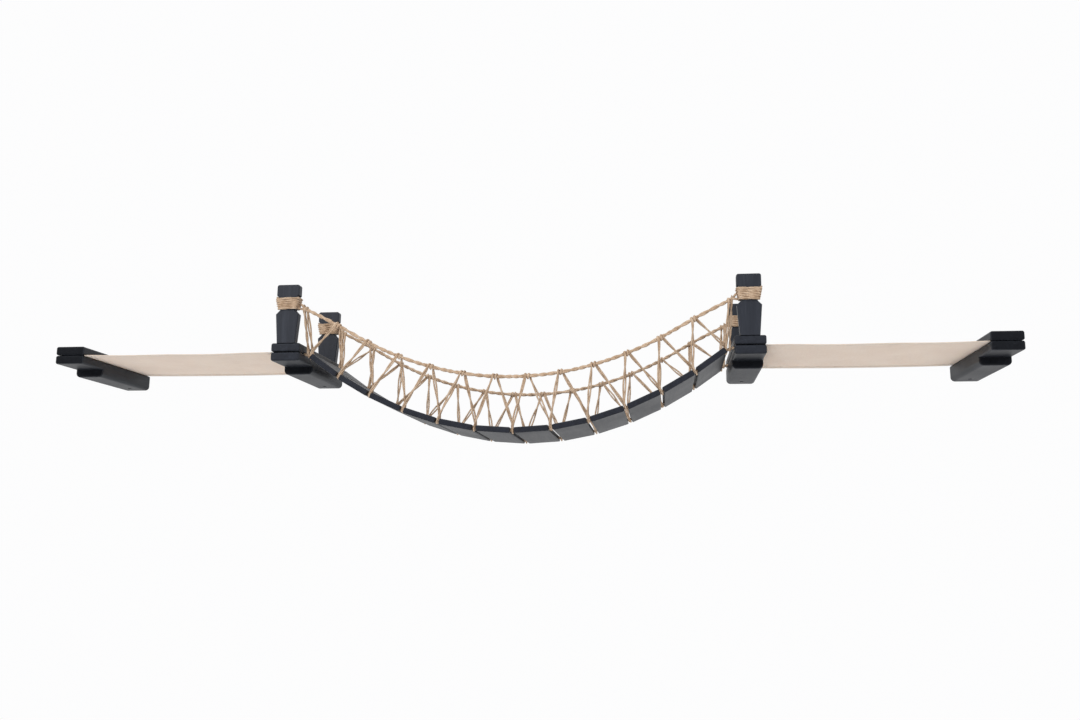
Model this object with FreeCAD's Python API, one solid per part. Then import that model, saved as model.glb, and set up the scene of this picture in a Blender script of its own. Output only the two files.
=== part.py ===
import FreeCAD, Part
import math
import os

# A rope and plank bridge for a cat, fixed to a wall. Sizes are in millimetres.
# X runs along the wall, Y points into the wall and Z points up. The origin is on the wall,
# midway along the bridge, at the top of the support arms, where the canvas lies on them.

# Supports: one at each end of the bridge, and one under each tower
overall_length = 1960.0
tower_spacing = 944.0
support_width = 62.0
support_depth = 280.0
arm_nose_thickness = 18.0
arm_root_thickness = 34.0
arm_nose_length = 78.0
clamp_bar_thickness = 18.0
wood_edge_radius = 4.0
arm_root_edge_radius = 9.0

# Canvas runners between each end support and the tower beside it
canvas_thickness = 1.2
canvas_sag = 1.6
canvas_edge_setback = 5.0

# Hidden steel wall brackets, one in the back of each arm
plate_width = 46.0
plate_height = 22.0
plate_thickness = 3.0
plate_corner_radius = 3.0
plate_hole_diameter = 5.0
plate_hole_spacing = 32.0
plate_countersink_diameter = 9.0
rod_diameter = 12.0
rod_length = 92.0
rod_end_chamfer = 1.5
rod_depth_below_canvas = 21.0
bracket_clearance = 0.4

# Locking screws under the arms
locking_screw_diameter = 8.0
locking_screw_length = 4.0
locking_screw_from_wall = 32.0
locking_key_width = 4.0
locking_key_depth = 2.0

# Wood screws of the clamp bars and the posts
screw_diameter = 4.0
screw_head_diameter = 8.0
screw_head_height = 2.4
screw_tip_diameter = 1.0
screw_slot_length = 4.2
screw_slot_width = 1.0
screw_slot_depth = 1.4
screw_clearance = 0.3
clamp_screw_length = 32.0
clamp_screw_from_front = 105.0
clamp_screw_from_wall = 115.0
post_screw_length = 42.0
post_screw_spacing = 20.0

# Posts: two on each tower, with a notch on both sides that holds the rope wrap.
# From the foot up: the shoulder, the slope to the notch's floor, the notch, a step, and the head
post_thickness = 18.0
post_base_width = 39.0
post_shoulder_width = 49.0
post_shoulder_height = 61.0
post_slope_height = 9.0
notch_floor_width = 31.0
notch_height = 29.0
notch_top_width = 43.0
post_step_height = 2.0
post_head_width = 48.5
post_head_height = 23.0
post_head_radius = 4.5
post_edge_radius = 2.5
back_post_wall_gap = 8.0

# Rope wraps in the notches of the posts
wrap_rope_diameter = 5.2
wrap_pitch = 5.75
wrap_start_rise = 1.2
wrap_tail_length = 9.0

# Planks of the deck
plank_width = 69.5
plank_thickness = 12.0
plank_post_gap = 5.0
deck_slack_share = 0.088
plank_gap = 8.2
tower_gap = 17.0
plank_edge_radius = 2.5
plank_bore_inset = 13.0

# Ropes
carrier_diameter = 6.0
rail_diameter = 7.5
lacing_diameter = 4.6
rope_clearance = 0.5
lashing_clearance = 1.6
stopper_knot_diameter = 14.0
stopper_knot_length = 13.0
stopper_knot_radius = 4.0
stopper_knot_inset = 14.0
rail_height = 104.0
rail_end_height = 89.0
rail_start_rise = 9.8
rail_start_gap = 0.3
end_knot_inset = 3.0
lacing_leg_height = 12.0
lacing_leg_bend = 4.0
lacing_hook_drop = 5.0
lacing_hook_bend = 4.0
lacing_tail_length = 12.0
lashing_tower_gap = 0.5
rail_bend_share = 0.45

# Cuts run past the faces that they open, and a rope's path leaves out runs shorter than this
overrun = 2.0
shortest_run = 0.002

os.makedirs("parts", exist_ok=True)
X_AXIS = FreeCAD.Vector(1, 0, 0)
Y_AXIS = FreeCAD.Vector(0, 1, 0)
Z_AXIS = FreeCAD.Vector(0, 0, 1)

# Places that several pieces share
bar_bottom = canvas_thickness
bar_top = canvas_thickness + clamp_bar_thickness
front_post_y = post_thickness / 2 - support_depth
back_post_y = -back_post_wall_gap - post_thickness / 2
deck_middle_y = (front_post_y + back_post_y) / 2
plank_length = back_post_y - front_post_y - post_thickness - 2 * plank_post_gap
front_carrier_y = deck_middle_y - plank_length / 2 + plank_bore_inset
back_carrier_y = deck_middle_y + plank_length / 2 - plank_bore_inset
carrier_height = canvas_thickness / 2
tower_x = tower_spacing / 2
tower_face_x = tower_x - support_width / 2
end_x = overall_length / 2 - support_width / 2
support_places = {"left_end": -end_x, "left_tower": -tower_x, "right_tower": tower_x}
support_places["right_end"] = end_x
clamp_screw_ys = [clamp_screw_from_front - support_depth, -clamp_screw_from_wall]
rod_z = -rod_depth_below_canvas
notch_floor_height = post_shoulder_height + post_slope_height
notch_top_height = notch_floor_height + notch_height
post_head_foot_height = notch_top_height + post_step_height
post_height = post_head_foot_height + post_head_height
rail_start_height = bar_top + notch_floor_height + rail_start_rise


def point(x, y, z):
    return FreeCAD.Vector(x, y, z)


def box(x_range, y_range, z_range):
    """A block between two values along each axis."""
    size = [high - low for low, high in (x_range, y_range, z_range)]
    return Part.makeBox(*size, point(x_range[0], y_range[0], z_range[0]))


def extruded(outline, along):
    """A solid made by pushing a closed outline of edges along a vector."""
    return Part.Face(Part.Wire(outline)).extrude(along)


def straight_edges(corners):
    """Straight edges round a closed list of corners."""
    return [Part.makeLine(a, b) for a, b in zip(corners, corners[1:] + corners[:1])]


def off_the_wall(edges):
    """The edges that don't lie in the wall's plane."""
    return [e for e in edges if min(v.Point.y for v in e.Vertexes) < -overrun]


def save(name, *solids):
    """Writes one piece, or a group of like pieces, to its own file."""
    shape = solids[0] if len(solids) == 1 else Part.makeCompound(solids)
    shape.exportStep("parts/" + name + ".step")
    print(name, len(shape.Solids), "solid, volume", round(shape.Volume), "valid", shape.isValid())


def corner_arc(before, corner, after, reach):
    """The three points of the arc that rounds a corner and touches both runs its reach away from it."""
    into = (before - corner).normalize()
    away = (after - corner).normalize()
    half = into.getAngle(away) / 2
    inward = (into + away).normalize()
    middle = corner + inward * (reach * (1 - math.sin(half)) / math.cos(half))
    return corner + into * reach, middle, corner + away * reach, reach * math.tan(half)


def rounded_path(points, reaches):
    """One wire of straight runs through the points, with a tangent arc at each inner point."""
    edges = []
    radii = []
    start = points[0]
    for before, corner, after, reach in zip(points, points[1:], points[2:], reaches):
        first, middle, last, radius = corner_arc(before, corner, after, reach)
        if not first.isEqual(start, shortest_run):
            edges.append(Part.LineSegment(start, first).toShape())
        edges.append(Part.Arc(first, middle, last).toShape())
        radii.append(radius)
        start = last
    edges.append(Part.LineSegment(start, points[-1]).toShape())
    return Part.Wire(edges), radii


def tube(points, reaches, diameter, name):
    """A rope of round section along a rounded path. Prints its length, tightest bend and volume."""
    path, radii = rounded_path(points, reaches)
    ring = Part.makeCircle(diameter / 2, points[0], points[1] - points[0])
    sweep = Part.BRepOffsetAPI.MakePipeShell(path)
    sweep.add(Part.Wire(ring))
    sweep.build()
    sweep.makeSolid()
    rope = sweep.shape()
    whole = rope.Volume / (math.pi * diameter**2 / 4 * path.Length)
    print(name, "length", round(path.Length), "least radius", round(min(radii), 1))
    print(name, "volume as a share of section times length", round(whole, 4))
    return rope, path


def least_self_gap(path, diameter, apart):
    """The least gap between stretches of one rope that lie further apart along it than a given length."""
    spots = path.discretize(Distance=diameter / 4)
    step = path.Length / (len(spots) - 1)
    skip = int(apart / step) + 1
    gaps = [a.distanceToPoint(b) for i, a in enumerate(spots) for b in spots[i + skip:]]
    return min(gaps) - diameter


def wood_screw(length):
    """A countersunk wood screw that points down from its head at the origin, with a cross in its head."""
    radius = screw_diameter / 2
    top = point(0, 0, 0)
    head = Part.makeCone(screw_head_diameter / 2, radius, screw_head_height, top, -Z_AXIS)
    straight = length - screw_diameter
    shank = Part.makeCylinder(radius, straight, top, -Z_AXIS)
    tip_start = point(0, 0, -straight)
    tip = Part.makeCone(radius, screw_tip_diameter / 2, screw_diameter, tip_start, -Z_AXIS)
    long = (-screw_slot_length / 2, screw_slot_length / 2)
    thin = (-screw_slot_width / 2, screw_slot_width / 2)
    deep = (-screw_slot_depth, overrun)
    cross = box(long, thin, deep).fuse(box(thin, long, deep))
    return head.fuse([shank, tip]).cut(cross).removeSplitter()


def screw_hole(length):
    """The room that a wood screw takes, a clearance wider than the screw and open above its head."""
    wide = screw_diameter / 2 + screw_clearance
    head_wide = screw_head_diameter / 2 + screw_clearance
    shank = Part.makeCylinder(wide, length + screw_clearance, point(0, 0, 0), -Z_AXIS)
    head = Part.makeCone(head_wide, wide, screw_head_height + screw_clearance, point(0, 0, 0), -Z_AXIS)
    mouth = Part.makeCylinder(head_wide, overrun)
    return shank.fuse([head, mouth])


def placed(shape, x, y, z, turn=0):
    """A copy of a shape, turned about X and then moved."""
    copy = shape.copy()
    copy.Placement = FreeCAD.Placement(point(x, y, z), FreeCAD.Rotation(X_AXIS, turn))
    return copy


# The line of the deck. Each carrier rope leaves a tower level, and bends at the middle of every gap.
# There are as many planks as make it longer than its span by its slack. Equal planks hang so that
# the tangent of their slope grows by the same step from plank to plank.
deck_span = 2 * tower_face_x - tower_gap
plank_step = plank_width + plank_gap
plank_count = round((deck_span * (1 + deck_slack_share) - tower_gap + plank_gap) / plank_step)
end_link = plank_width + plank_gap / 2 + tower_gap / 2
links = [end_link] + [plank_step] * (plank_count - 2) + [end_link]


def link_slopes(step):
    return [math.atan(step * (i - (plank_count - 1) / 2)) for i in range(plank_count)]


flat_step, steep_step = 0.0, 1.0
for halving in range(60):
    slope_step = (flat_step + steep_step) / 2
    reached = sum(link * math.cos(slope) for link, slope in zip(links, link_slopes(slope_step)))
    flat_step, steep_step = (slope_step, steep_step) if reached > deck_span else (flat_step, slope_step)
slopes = link_slopes(slope_step)
bends = [(-deck_span / 2, carrier_height)]
for link, slope in zip(links, slopes):
    bends.append((bends[-1][0] + link * math.cos(slope), bends[-1][1] + link * math.sin(slope)))
print("deck sag", round(carrier_height - min(z for x, z in bends), 1))
print("end slope in degrees", round(math.degrees(slopes[-1]), 1))


def deck_height(x):
    """The height of the deck's line at a place along the bridge."""
    for (x0, z0), (x1, z1) in zip(bends, bends[1:]):
        if x <= x1:
            return z0 + (z1 - z0) * (x - x0) / (x1 - x0)
    return bends[-1][1]


# The rope channel and the knot's pocket, half in a tower's arm and half in its clamp bar
def rope_seats(side):
    """The room for both carrier ends in a tower, on the left with side -1 and on the right with side 1."""
    seats = []
    for y in (front_carrier_y, back_carrier_y):
        mouth = point(side * (tower_face_x - overrun), y, carrier_height)
        pocket = stopper_knot_inset + stopper_knot_length / 2 + rope_clearance
        rope_wide = carrier_diameter / 2 + rope_clearance
        channel = Part.makeCylinder(rope_wide, stopper_knot_inset + overrun, mouth, X_AXIS * side)
        floor = point(side * (tower_face_x + pocket), y, carrier_height)
        wide = stopper_knot_diameter / 2 + rope_clearance
        knot_room = Part.makeCylinder(wide, stopper_knot_length + 2 * rope_clearance, floor, X_AXIS * -side)
        seats += [channel, knot_room]
    return seats


def root_edges(arm):
    """The edges of an arm's root that run to the wall, under the level of its nose."""
    def runs_to_wall(edge):
        return abs(edge.tangentAt(edge.FirstParameter).y) > 1 / 2
    return [e for e in arm.Edges if runs_to_wall(e) and e.CenterOfMass.z < -arm_nose_thickness]


def support_arm(x, seats):
    """A wooden arm with a thin nose and a thick root, bored for its wall bracket and its locking screw."""
    step_y = arm_nose_length - support_depth
    inner_corner = (step_y, -arm_nose_thickness)
    side = [(0, 0), (-support_depth, 0), (-support_depth, -arm_nose_thickness), inner_corner]
    side += [(step_y, -arm_root_thickness), (0, -arm_root_thickness)]
    corners = [point(-support_width / 2, y, z) for y, z in side]
    arm = extruded(straight_edges(corners), X_AXIS * support_width)
    arm = arm.makeFillet(arm_root_edge_radius, root_edges(arm))
    seams = root_edges(arm)
    rounded = []
    for edge in off_the_wall(arm.Edges):
        ends = [math.dist((v.Point.y, v.Point.z), inner_corner) for v in edge.Vertexes]
        if max(ends) > overrun and not any(edge.isSame(seam) for seam in seams):
            rounded.append(edge)
    arm = arm.makeFillet(wood_edge_radius, rounded)
    room_wide = plate_width / 2 + bracket_clearance
    room_high = plate_height / 2 + bracket_clearance
    room_deep = plate_thickness + bracket_clearance
    plate_room = box((-room_wide, room_wide), (-room_deep, overrun), (rod_z - room_high, rod_z + room_high))
    bore_length = plate_thickness + rod_length + bracket_clearance
    bore = Part.makeCylinder(rod_diameter / 2 + bracket_clearance, bore_length, point(0, 0, rod_z), -Y_AXIS)
    lock_start = point(0, -locking_screw_from_wall, -arm_root_thickness - overrun)
    lock_radius = locking_screw_diameter / 2 + bracket_clearance
    lock_depth = arm_root_thickness + overrun + rod_z
    lock_bore = Part.makeCylinder(lock_radius, lock_depth, lock_start, Z_AXIS)
    holes = [placed(screw_hole(clamp_screw_length), 0, y, bar_top) for y in clamp_screw_ys]
    arm.translate(X_AXIS * x)
    cuts = [plate_room, bore, lock_bore] + holes
    for cut in cuts:
        cut.translate(X_AXIS * x)
    return arm.cut(cuts + seats)


def clamp_bar(x, seats, posts):
    """The wooden bar that clamps the canvas onto an arm. On a tower it also holds the posts' screws."""
    low, high = -support_width / 2, support_width / 2
    bar = box((low, high), (-support_depth, 0), (bar_bottom, bar_top))
    bar = bar.makeFillet(wood_edge_radius, off_the_wall(bar.Edges))
    cuts = [placed(screw_hole(clamp_screw_length), 0, y, bar_top) for y in clamp_screw_ys]
    for post_y in posts:
        for screw_x in (-post_screw_spacing / 2, post_screw_spacing / 2):
            cuts.append(placed(screw_hole(post_screw_length), screw_x, post_y, bar_bottom, 180))
    bar.translate(X_AXIS * x)
    for cut in cuts:
        cut.translate(X_AXIS * x)
    return bar.cut(cuts + seats)


def wall_bracket(x):
    """A steel plate against the wall, with two countersunk holes, and a rod welded to it."""
    wide, high = plate_width / 2, plate_height / 2
    plate = box((-wide, wide), (-plate_thickness, 0), (rod_z - high, rod_z + high))
    corners = [e for e in plate.Edges if abs(e.tangentAt(e.FirstParameter).y) == 1]
    plate = plate.makeFillet(plate_corner_radius, corners)
    rod = Part.makeCylinder(rod_diameter / 2, rod_length, point(0, -plate_thickness, rod_z), -Y_AXIS)
    far_end = [e for e in rod.Edges if e.CenterOfMass.y < -plate_thickness - rod_length / 2 and e.Closed]
    rod = rod.makeChamfer(rod_end_chamfer, far_end[:1])
    cuts = []
    for hole_x in (-plate_hole_spacing / 2, plate_hole_spacing / 2):
        radius = plate_hole_diameter / 2
        head_depth = plate_countersink_diameter / 2 - radius
        cuts.append(Part.makeCylinder(radius, plate_thickness + overrun, point(hole_x, 0, rod_z), -Y_AXIS))
        head_place = point(hole_x, -plate_thickness, rod_z)
        cuts.append(Part.makeCone(plate_countersink_diameter / 2, radius, head_depth, head_place, Y_AXIS))
    bracket = plate.fuse(rod).cut(cuts).removeSplitter()
    bracket.translate(X_AXIS * x)
    return bracket


def locking_screw(x):
    """A headless screw under an arm, whose tip bears on the wall bracket's rod."""
    tip_z = rod_z - rod_diameter / 2
    foot = point(x, -locking_screw_from_wall, tip_z - locking_screw_length)
    body = Part.makeCylinder(locking_screw_diameter / 2, locking_screw_length, foot, Z_AXIS)
    corners = []
    for i in range(6):
        angle = math.radians(60 * i)
        reach = locking_key_width / math.sqrt(3)
        corners.append(foot + point(reach * math.cos(angle), reach * math.sin(angle), 0))
    return body.cut(extruded(straight_edges(corners), Z_AXIS * locking_key_depth))


def post(x, y):
    """A flat post that narrows to its foot, with a notch on both sides under its head."""
    half = [
        (post_base_width / 2, 0),
        (post_shoulder_width / 2, post_shoulder_height),
        (notch_floor_width / 2, notch_floor_height),
        (notch_top_width / 2, notch_top_height),
        (post_head_width / 2, post_head_foot_height),
        (post_head_width / 2, post_height),
    ]
    outline = half + [(-wide, high) for wide, high in reversed(half)]
    face_y = y - post_thickness / 2
    corners = [point(x + wide, face_y, bar_top + high) for wide, high in outline]
    solid = extruded(straight_edges(corners), Y_AXIS * post_thickness)
    top = bar_top + post_height
    head_corners = [e for e in solid.Edges if all(v.Point.z > top - overrun for v in e.Vertexes)]
    head_corners = [e for e in head_corners if abs(e.Vertexes[0].Point.y - e.Vertexes[1].Point.y) > overrun]
    solid = solid.makeFillet(post_head_radius, head_corners)
    rims = [e for e in solid.Edges if abs(e.Vertexes[0].Point.y - e.Vertexes[-1].Point.y) < overrun]
    rims = [e for e in rims if e.CenterOfMass.z > bar_top + overrun]
    solid = solid.makeFillet(post_edge_radius, rims)
    cuts = []
    for screw_x in (-post_screw_spacing / 2, post_screw_spacing / 2):
        cuts.append(placed(screw_hole(post_screw_length), x + screw_x, y, bar_bottom, 180))
    return solid.cut(cuts)


def notch_half_width(height):
    """Half the width of a post between the floor and the top of its notch."""
    share = (height - notch_floor_height) / (notch_top_height - notch_floor_height)
    return (notch_floor_width + share * (notch_top_width - notch_floor_width)) / 2


def post_wrap(x, y, side):
    """One rope wound round a post in its notch, from its floor to its top. It starts on the outer side."""
    away = wrap_rope_diameter / 2 + rope_clearance
    deep = post_thickness / 2 + away
    bend = away + post_edge_radius
    quarter_turns = math.floor((notch_height - wrap_start_rise - away) / (wrap_pitch / 4))
    corners = []
    for i in range(quarter_turns + 1):
        height = notch_floor_height + wrap_start_rise + wrap_pitch * i / 4
        wide = notch_half_width(height) + away
        across = wide if i % 4 in (2, 3) else -wide
        along = deep if i % 4 in (0, 3) else -deep
        corners.append(point(x - side * across, y + along, bar_top + height))
    tail = bend + wrap_tail_length
    corners[0] = corners[1] + (corners[0] - corners[1]).normalize() * tail
    corners[-1] = corners[-2] + (corners[-1] - corners[-2]).normalize() * tail
    return tube(corners, [bend] * (quarter_turns - 1), wrap_rope_diameter, "post wrap")


def plank(number):
    """A plank of the deck, lying along the deck's line, with a bore for each carrier rope."""
    slope = slopes[number]
    start = tower_gap / 2 if number == 0 else plank_gap / 2
    middle = start + plank_width / 2
    x = bends[number][0] + middle * math.cos(slope)
    z = bends[number][1] + middle * math.sin(slope)
    wide, thick = plank_width / 2, plank_thickness / 2
    front = deck_middle_y - plank_length / 2
    board = box((-wide, wide), (front, front + plank_length), (-thick, thick))
    board = board.makeFillet(plank_edge_radius, board.Edges)
    for y in (front_carrier_y, back_carrier_y):
        bore_start = point(-wide - overrun, y, 0)
        radius = carrier_diameter / 2 + rope_clearance
        board = board.cut(Part.makeCylinder(radius, plank_width + 2 * overrun, bore_start, X_AXIS))
    board.Placement = FreeCAD.Placement(point(x, 0, z), FreeCAD.Rotation(Y_AXIS, -math.degrees(slope)))
    return board


def canvas_runner(side):
    """A strip of canvas, clamped at both ends and hanging a little between them."""
    outer = side * (overall_length / 2 - canvas_edge_setback)
    outer_edge = side * (overall_length / 2 - support_width)
    tower_edge = side * (tower_x + support_width / 2)
    inner = side * (tower_face_x + canvas_edge_setback)
    front = canvas_edge_setback - support_depth
    middle = (outer_edge + tower_edge) / 2

    def at(x, z):
        return point(x, front, z)

    def hanging(first, last, z):
        return Part.Arc(at(first, z), at(middle, z - canvas_sag), at(last, z)).toShape()

    outline = [
        Part.makeLine(at(outer, 0), at(outer_edge, 0)),
        hanging(outer_edge, tower_edge, 0),
        Part.makeLine(at(tower_edge, 0), at(inner, 0)),
        Part.makeLine(at(inner, 0), at(inner, canvas_thickness)),
        Part.makeLine(at(inner, canvas_thickness), at(tower_edge, canvas_thickness)),
        hanging(tower_edge, outer_edge, canvas_thickness),
        Part.makeLine(at(outer_edge, canvas_thickness), at(outer, canvas_thickness)),
        Part.makeLine(at(outer, canvas_thickness), at(outer, 0)),
    ]
    strip = extruded(outline, Y_AXIS * (support_depth - 2 * canvas_edge_setback))
    cuts = []
    for x in (side * end_x, side * tower_x):
        cuts += [placed(screw_hole(clamp_screw_length), x, y, bar_top) for y in clamp_screw_ys]
    return strip.cut(cuts + rope_seats(side))


# Points of the handrails: a start at each post wrap, then evenly spaced knots above the deck
knot_span = deck_span - 2 * end_knot_inset
knot_count = plank_count + 2
knot_xs = [-knot_span / 2 + knot_span * k / (knot_count - 1) for k in range(knot_count)]
knots = [(x, deck_height(x) + rail_height) for x in knot_xs]
knots[0] = (knot_xs[0], carrier_height + rail_end_height)
knots[-1] = (knot_xs[-1], carrier_height + rail_end_height)
wrap_outside = notch_half_width(rail_start_height - bar_top) + wrap_rope_diameter + 2 * rope_clearance
rail_start_x = tower_x - wrap_outside - rail_start_gap


def rail_route(y):
    """The corner points of a handrail and how far each bend reaches along its runs."""
    route = [(-rail_start_x, rail_start_height)] + knots + [(rail_start_x, rail_start_height)]
    route = [point(x, y, z) for x, z in route]
    runs = [a.distanceToPoint(b) for a, b in zip(route, route[1:])]
    return route, [rail_bend_share * min(pair) for pair in zip(runs, runs[1:])]


def carrier_route(y):
    """The corner points of a carrier rope and how far each bend reaches along its runs."""
    knot_x = tower_face_x + stopper_knot_inset
    route = [(-knot_x, carrier_height)] + bends + [(knot_x, carrier_height)]
    reaches = [tower_gap / 2] + [plank_gap / 2] * (plank_count - 1) + [tower_gap / 2]
    return [point(x, y, z) for x, z in route], reaches


def carrier(y):
    """A rope through the bores of all planks, with a stopper knot at both ends."""
    route, reaches = carrier_route(y)
    rope = tube(route, reaches, carrier_diameter, "carrier")[0]
    stoppers = []
    for end in (route[0], route[-1]):
        start = end - X_AXIS * (stopper_knot_length / 2)
        knot = Part.makeCylinder(stopper_knot_diameter / 2, stopper_knot_length, start, X_AXIS)
        stoppers.append(knot.makeFillet(stopper_knot_radius, [e for e in knot.Edges if e.Closed]))
    return rope.fuse(stoppers)


def on_the_rope(route, reaches, i):
    """Where a rope's middle passes at its point i, and the direction across it there, upwards."""
    middle = corner_arc(route[i - 1], route[i], route[i + 1], reaches[i - 1])[1]
    along = (route[i + 1] - route[i - 1]).normalize()
    return middle, along.cross(Y_AXIS).normalize()


def lacing(rail_y, carrier_y):
    """One rope that winds from end to end of the deck, over the handrail and under the carrier by turns.

    Its legs stand square to the deck in the gaps, and upright in the two gaps beside the towers.
    """
    rail, rail_reaches = rail_route(rail_y)
    rope, rope_reaches = carrier_route(carrier_y)
    inward = Y_AXIS if carrier_y > rail_y else -Y_AXIS
    over = rail_diameter / 2 + lacing_diameter / 2 + rope_clearance
    under = carrier_diameter / 2 + lacing_diameter / 2 + rope_clearance
    route = []
    reaches = []

    def add(place, reach):
        route.append(place)
        reaches.append(reach)

    for k in range(knot_count):
        top, up = on_the_rope(rail, rail_reaches, k + 1)
        hang = Z_AXIS if k in (0, knot_count - 1) else up
        drop = lacing_tail_length if k == 0 else lacing_hook_drop
        add(top - inward * over - hang * drop, lacing_hook_bend)
        add(top - inward * over + up * over, over)
        add(top + inward * over + up * over, over)
        drop = lacing_tail_length if k == knot_count - 1 else lacing_hook_drop
        add(top + inward * over - hang * drop, lacing_hook_bend)
        if k < knot_count - 1:
            low, up = on_the_rope(rope, rope_reaches, k + 1)
            leg = Z_AXIS if k in (0, plank_count) else up
            add(low + inward * under + leg * lacing_leg_height, lacing_leg_bend)
            add(low + inward * under - leg * under, under)
            add(low - inward * under - leg * under, under)
            add(low - inward * under + leg * lacing_leg_height, lacing_leg_bend)
    return tube(route, reaches[1:-1], lacing_diameter, "lacing")[0]


def lashing(side, rail_y, carrier_y):
    """A closed loop of rope beside a tower, round the handrail above and the carrier below."""
    x = side * (tower_face_x - lashing_tower_gap - lacing_diameter / 2)
    around = rail_diameter / 2 + lacing_diameter / 2 + lashing_clearance
    rail_place = (rail_start_x - abs(x)) / (rail_start_x - knots[-1][0])
    rail_z = rail_start_height + rail_place * (knots[-1][1] - rail_start_height)
    top = point(x, rail_y, rail_z)
    low = point(x, carrier_y, carrier_height)
    up = (top - low).normalize()
    out = up.cross(X_AXIS)
    leg = (top + low) * (1 / 2) + out * around
    route = [
        leg,
        top + (up + out) * around,
        top + (up - out) * around,
        low - (up + out) * around,
        low + (out - up) * around,
        leg,
    ]
    return tube(route, [around] * 4, lacing_diameter, "lashing")[0]


tower_sides = {"left_tower": -1, "right_tower": 1}
rows = [("front", front_post_y, front_carrier_y), ("back", back_post_y, back_carrier_y)]
for name, x in support_places.items():
    side = tower_sides.get(name, 0)
    seats = rope_seats(side) if side else []
    posts = (front_post_y, back_post_y) if side else ()
    save("arm_" + name, support_arm(x, seats))
    save("clamp_bar_" + name, clamp_bar(x, seats, posts))
    save("wall_bracket_" + name, wall_bracket(x))

for name, side in (("left", -1), ("right", 1)):
    save("canvas_" + name, canvas_runner(side))
    for row, post_y, rope_y in rows:
        save("post_" + name + "_" + row, post(side * tower_x, post_y))
        wrap, wrap_path = post_wrap(side * tower_x, post_y, side)
        print("wrap self gap", round(least_self_gap(wrap_path, wrap_rope_diameter, 2 * post_thickness), 2))
        save("wrap_" + name + "_" + row, wrap)
        save("lashing_" + name + "_" + row, lashing(side, post_y, rope_y))

for number in range(plank_count):
    save("plank_%02d" % (number + 1), plank(number))

for row, post_y, rope_y in rows:
    save("carrier_" + row, carrier(rope_y))
    route, reaches = rail_route(post_y)
    save("handrail_" + row, tube(route, reaches, rail_diameter, "handrail")[0])
    save("lacing_" + row, lacing(post_y, rope_y))

clamp_screws = []
for x in support_places.values():
    clamp_screws += [placed(wood_screw(clamp_screw_length), x, y, bar_top) for y in clamp_screw_ys]
save("clamp_screws", *clamp_screws)
post_screws = []
for x in (-tower_x, tower_x):
    for y in (front_post_y, back_post_y):
        for screw_x in (x - post_screw_spacing / 2, x + post_screw_spacing / 2):
            post_screws.append(placed(wood_screw(post_screw_length), screw_x, y, bar_bottom, 180))
save("post_screws", *post_screws)
save("locking_screws", *[locking_screw(x) for x in support_places.values()])
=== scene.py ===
# %% [markdown]
# A rope and plank bridge for a cat, on a wall. The wooden and steel pieces come ready from the packed
# model and only get their finishes here. What is soft is made in this file: the ropes, with their real
# twist, and the two canvas runners, with their hems and stitches.
# Everything is in metres. X runs along the wall, Y points into the wall and Z points up.

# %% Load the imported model
import math

import bpy
import numpy as np
from mathutils import Matrix, Vector


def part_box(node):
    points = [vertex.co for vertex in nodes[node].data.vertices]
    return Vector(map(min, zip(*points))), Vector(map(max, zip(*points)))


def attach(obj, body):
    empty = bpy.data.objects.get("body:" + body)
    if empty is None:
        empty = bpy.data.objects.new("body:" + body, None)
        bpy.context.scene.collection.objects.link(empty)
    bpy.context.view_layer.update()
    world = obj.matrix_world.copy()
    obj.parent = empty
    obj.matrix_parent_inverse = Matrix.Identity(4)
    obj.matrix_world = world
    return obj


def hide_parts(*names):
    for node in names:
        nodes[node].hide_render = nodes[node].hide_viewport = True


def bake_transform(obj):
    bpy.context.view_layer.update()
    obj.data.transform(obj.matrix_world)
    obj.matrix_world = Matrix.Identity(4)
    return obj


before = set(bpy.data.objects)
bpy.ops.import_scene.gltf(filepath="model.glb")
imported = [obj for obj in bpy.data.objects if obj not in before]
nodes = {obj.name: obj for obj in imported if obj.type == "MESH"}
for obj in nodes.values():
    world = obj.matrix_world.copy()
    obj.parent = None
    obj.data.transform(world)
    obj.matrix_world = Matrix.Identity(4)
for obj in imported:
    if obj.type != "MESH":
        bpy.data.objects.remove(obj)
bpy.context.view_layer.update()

bpy.ops.object.select_all(action="DESELECT")

# %% [markdown]
# The camera stands low and to the right of the middle and looks up a little, so that the undersides
# show. Its place and angles were worked out from the corners of the wooden supports. A camera could be
# aimed with a Track To constraint, but three angles and a matrix also give the small roll.

# %% Camera
CAMERA_PLACE = (0.30322, -2.20403, -0.37622)
turn_left = math.radians(7.23469)
look_up = math.radians(10.2738)
roll = math.radians(0.4727)
level_ahead = Vector((-math.sin(turn_left), math.cos(turn_left), 0))
level_right = Vector((math.cos(turn_left), math.sin(turn_left), 0))
ahead = level_ahead * math.cos(look_up) + Vector((0, 0, math.sin(look_up)))
above = level_ahead * -math.sin(look_up) + Vector((0, 0, math.cos(look_up)))
right = level_right * math.cos(roll) + above * math.sin(roll)
above = above * math.cos(roll) - level_right * math.sin(roll)
facing = Matrix((right, above, -ahead)).transposed().to_4x4()
camera_data = bpy.data.cameras.new("camera")
camera_data.sensor_width = 36.0
camera_data.lens = 32.968
camera = bpy.data.objects.new("camera", camera_data)
bpy.context.scene.collection.objects.link(camera)
camera.matrix_world = Matrix.Translation(CAMERA_PLACE) @ facing
bpy.context.scene.camera = camera
print("camera with a lens of", camera_data.lens, "mm")

# %% [markdown]
# Jute is a coarse, dull fibre. A finish of one colour would look like plastic, so the colour here
# comes from three things: fibre lines that run slantwise round each strand, patches along the rope, and
# fine specks. The fibre lines read the strand's own UV map, so that they follow every bend.

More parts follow.
